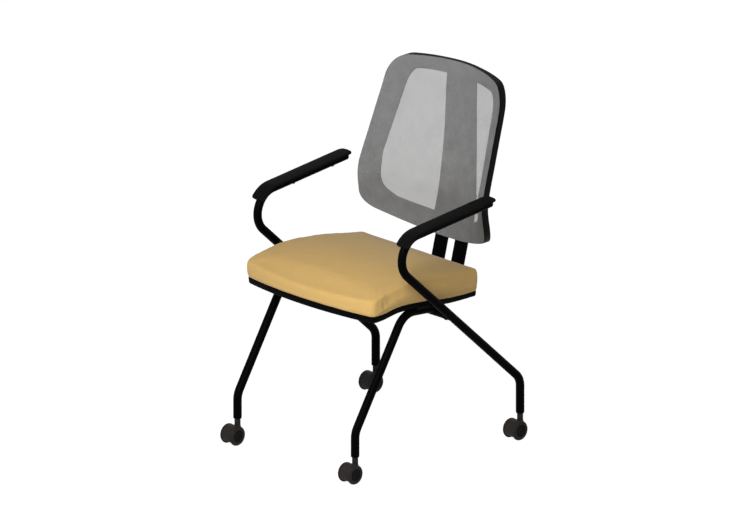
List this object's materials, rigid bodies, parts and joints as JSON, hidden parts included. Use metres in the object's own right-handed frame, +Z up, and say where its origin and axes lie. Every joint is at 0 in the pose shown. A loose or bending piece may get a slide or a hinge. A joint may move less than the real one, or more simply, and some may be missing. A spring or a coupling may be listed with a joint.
{
  "type": "nesting chair",
  "caption": "Nesting chair with bent tube side frames, flip-up upholstered seat, mesh back on a moulded frame, padded arms and swivel casters.",
  "frame": {"origin": "on the floor, under the middle of the chair's bounding box", "axes": "+Z up, the sitter faces -Y, +X is the sitter's left"},
  "size_m": [0.564, 0.6486, 0.925],
  "materials": {
    "powder_coat": "black satin powder coat",
    "back_plastic": "black moulding with a fine grain",
    "back_mesh": "grey open knitted mesh",
    "arm_pad": "black soft moulding with a fine grain",
    "seat_fabric": "golden tan woven upholstery",
    "pan_plastic": "black moulding with a fine grain",
    "caster_plastic": "dark grey-brown nylon",
    "black_nylon": "black nylon",
    "black_rubber": "black rubber",
    "zinc_steel": "bright zinc plate"
  },
  "bodies": {
    "frame": {"cross_tube": "powder_coat", "arm_tube_left": "powder_coat", "arm_tube_right": "powder_coat", "front_leg_left": "powder_coat", "front_leg_right": "powder_coat", "tube_end_plug_left": "black_nylon", "tube_end_plug_right": "black_nylon", "back_bar_left": "powder_coat", "back_bar_right": "powder_coat", "back_screw_left_lower": "zinc_steel", "back_screw_left_upper": "zinc_steel", "back_screw_right_lower": "zinc_steel", "back_screw_right_upper": "zinc_steel", "back_frame": "back_plastic", "back_mesh": "back_mesh", "arm_pad_left": "arm_pad", "arm_pad_right": "arm_pad", "arm_pad_screw_left_front": "zinc_steel", "arm_pad_screw_left_rear": "zinc_steel", "arm_pad_screw_right_front": "zinc_steel", "arm_pad_screw_right_rear": "zinc_steel", "hinge_lug_left": "powder_coat", "hinge_lug_right": "powder_coat", "hinge_rod": "zinc_steel", "seat_bumper_left": "black_rubber", "seat_bumper_right": "black_rubber", "caster_socket_front_left": "black_nylon", "caster_socket_front_right": "black_nylon", "caster_socket_rear_left": "black_nylon", "caster_socket_rear_right": "black_nylon"},
    "seat": {"seat_cushion": "seat_fabric", "seat_pan": "pan_plastic", "hinge_plate_left": "powder_coat", "hinge_plate_right": "powder_coat", "hinge_bush_left": "black_nylon", "hinge_bush_right": "black_nylon"},
    "caster_front_left": {"caster_hood_front_left": "caster_plastic", "caster_axle_front_left": "zinc_steel", "caster_stem_front_left": "zinc_steel"},
    "caster_front_right": {"caster_hood_front_right": "caster_plastic", "caster_axle_front_right": "zinc_steel", "caster_stem_front_right": "zinc_steel"},
    "caster_rear_left": {"caster_hood_rear_left": "caster_plastic", "caster_axle_rear_left": "zinc_steel", "caster_stem_rear_left": "zinc_steel"},
    "caster_rear_right": {"caster_hood_rear_right": "caster_plastic", "caster_axle_rear_right": "zinc_steel", "caster_stem_rear_right": "zinc_steel"},
    "wheel_front_left_a": {"caster_wheel_front_left_a": "caster_plastic"},
    "wheel_front_left_b": {"caster_wheel_front_left_b": "caster_plastic"},
    "wheel_front_right_a": {"caster_wheel_front_right_a": "caster_plastic"},
    "wheel_front_right_b": {"caster_wheel_front_right_b": "caster_plastic"},
    "wheel_rear_left_a": {"caster_wheel_rear_left_a": "caster_plastic"},
    "wheel_rear_left_b": {"caster_wheel_rear_left_b": "caster_plastic"},
    "wheel_rear_right_a": {"caster_wheel_rear_right_a": "caster_plastic"},
    "wheel_rear_right_b": {"caster_wheel_rear_right_b": "caster_plastic"}
  },
  "joints": [
    {"name": "seat_flip", "type": "hinge", "parent": "frame", "child": "seat", "pos_m": [0, 0.14125, 0.385], "axis": [-1, 0, 0], "range_deg": [0, 62]},
    {"name": "swivel_front_left", "type": "hinge", "parent": "frame", "child": "caster_front_left", "pos_m": [0.2115, -0.28135, 0.066], "axis": [0, 0, 1], "continuous": true},
    {"name": "swivel_front_right", "type": "hinge", "parent": "frame", "child": "caster_front_right", "pos_m": [-0.2115, -0.28135, 0.066], "axis": [0, 0, 1], "continuous": true},
    {"name": "swivel_rear_left", "type": "hinge", "parent": "frame", "child": "caster_rear_left", "pos_m": [0.2595, 0.25635, 0.066], "axis": [0, 0, 1], "continuous": true},
    {"name": "swivel_rear_right", "type": "hinge", "parent": "frame", "child": "caster_rear_right", "pos_m": [-0.2595, 0.25635, 0.066], "axis": [0, 0, 1], "continuous": true},
    {"name": "roll_front_left_a", "type": "hinge", "parent": "caster_front_left", "child": "wheel_front_left_a", "pos_m": [0.2115, -0.29875, 0.0255], "axis": [1, 0, 0], "continuous": true},
    {"name": "roll_front_left_b", "type": "hinge", "parent": "caster_front_left", "child": "wheel_front_left_b", "pos_m": [0.2115, -0.29875, 0.0255], "axis": [1, 0, 0], "continuous": true},
    {"name": "roll_front_right_a", "type": "hinge", "parent": "caster_front_right", "child": "wheel_front_right_a", "pos_m": [-0.2115, -0.29875, 0.0255], "axis": [1, 0, 0], "continuous": true},
    {"name": "roll_front_right_b", "type": "hinge", "parent": "caster_front_right", "child": "wheel_front_right_b", "pos_m": [-0.2115, -0.29875, 0.0255], "axis": [1, 0, 0], "continuous": true},
    {"name": "roll_rear_left_a", "type": "hinge", "parent": "caster_rear_left", "child": "wheel_rear_left_a", "pos_m": [0.2595, 0.23895, 0.0255], "axis": [1, 0, 0], "continuous": true},
    {"name": "roll_rear_left_b", "type": "hinge", "parent": "caster_rear_left", "child": "wheel_rear_left_b", "pos_m": [0.2595, 0.23895, 0.0255], "axis": [1, 0, 0], "continuous": true},
    {"name": "roll_rear_right_a", "type": "hinge", "parent": "caster_rear_right", "child": "wheel_rear_right_a", "pos_m": [-0.2595, 0.23895, 0.0255], "axis": [1, 0, 0], "continuous": true},
    {"name": "roll_rear_right_b", "type": "hinge", "parent": "caster_rear_right", "child": "wheel_rear_right_b", "pos_m": [-0.2595, 0.23895, 0.0255], "axis": [1, 0, 0], "continuous": true}
  ]
}
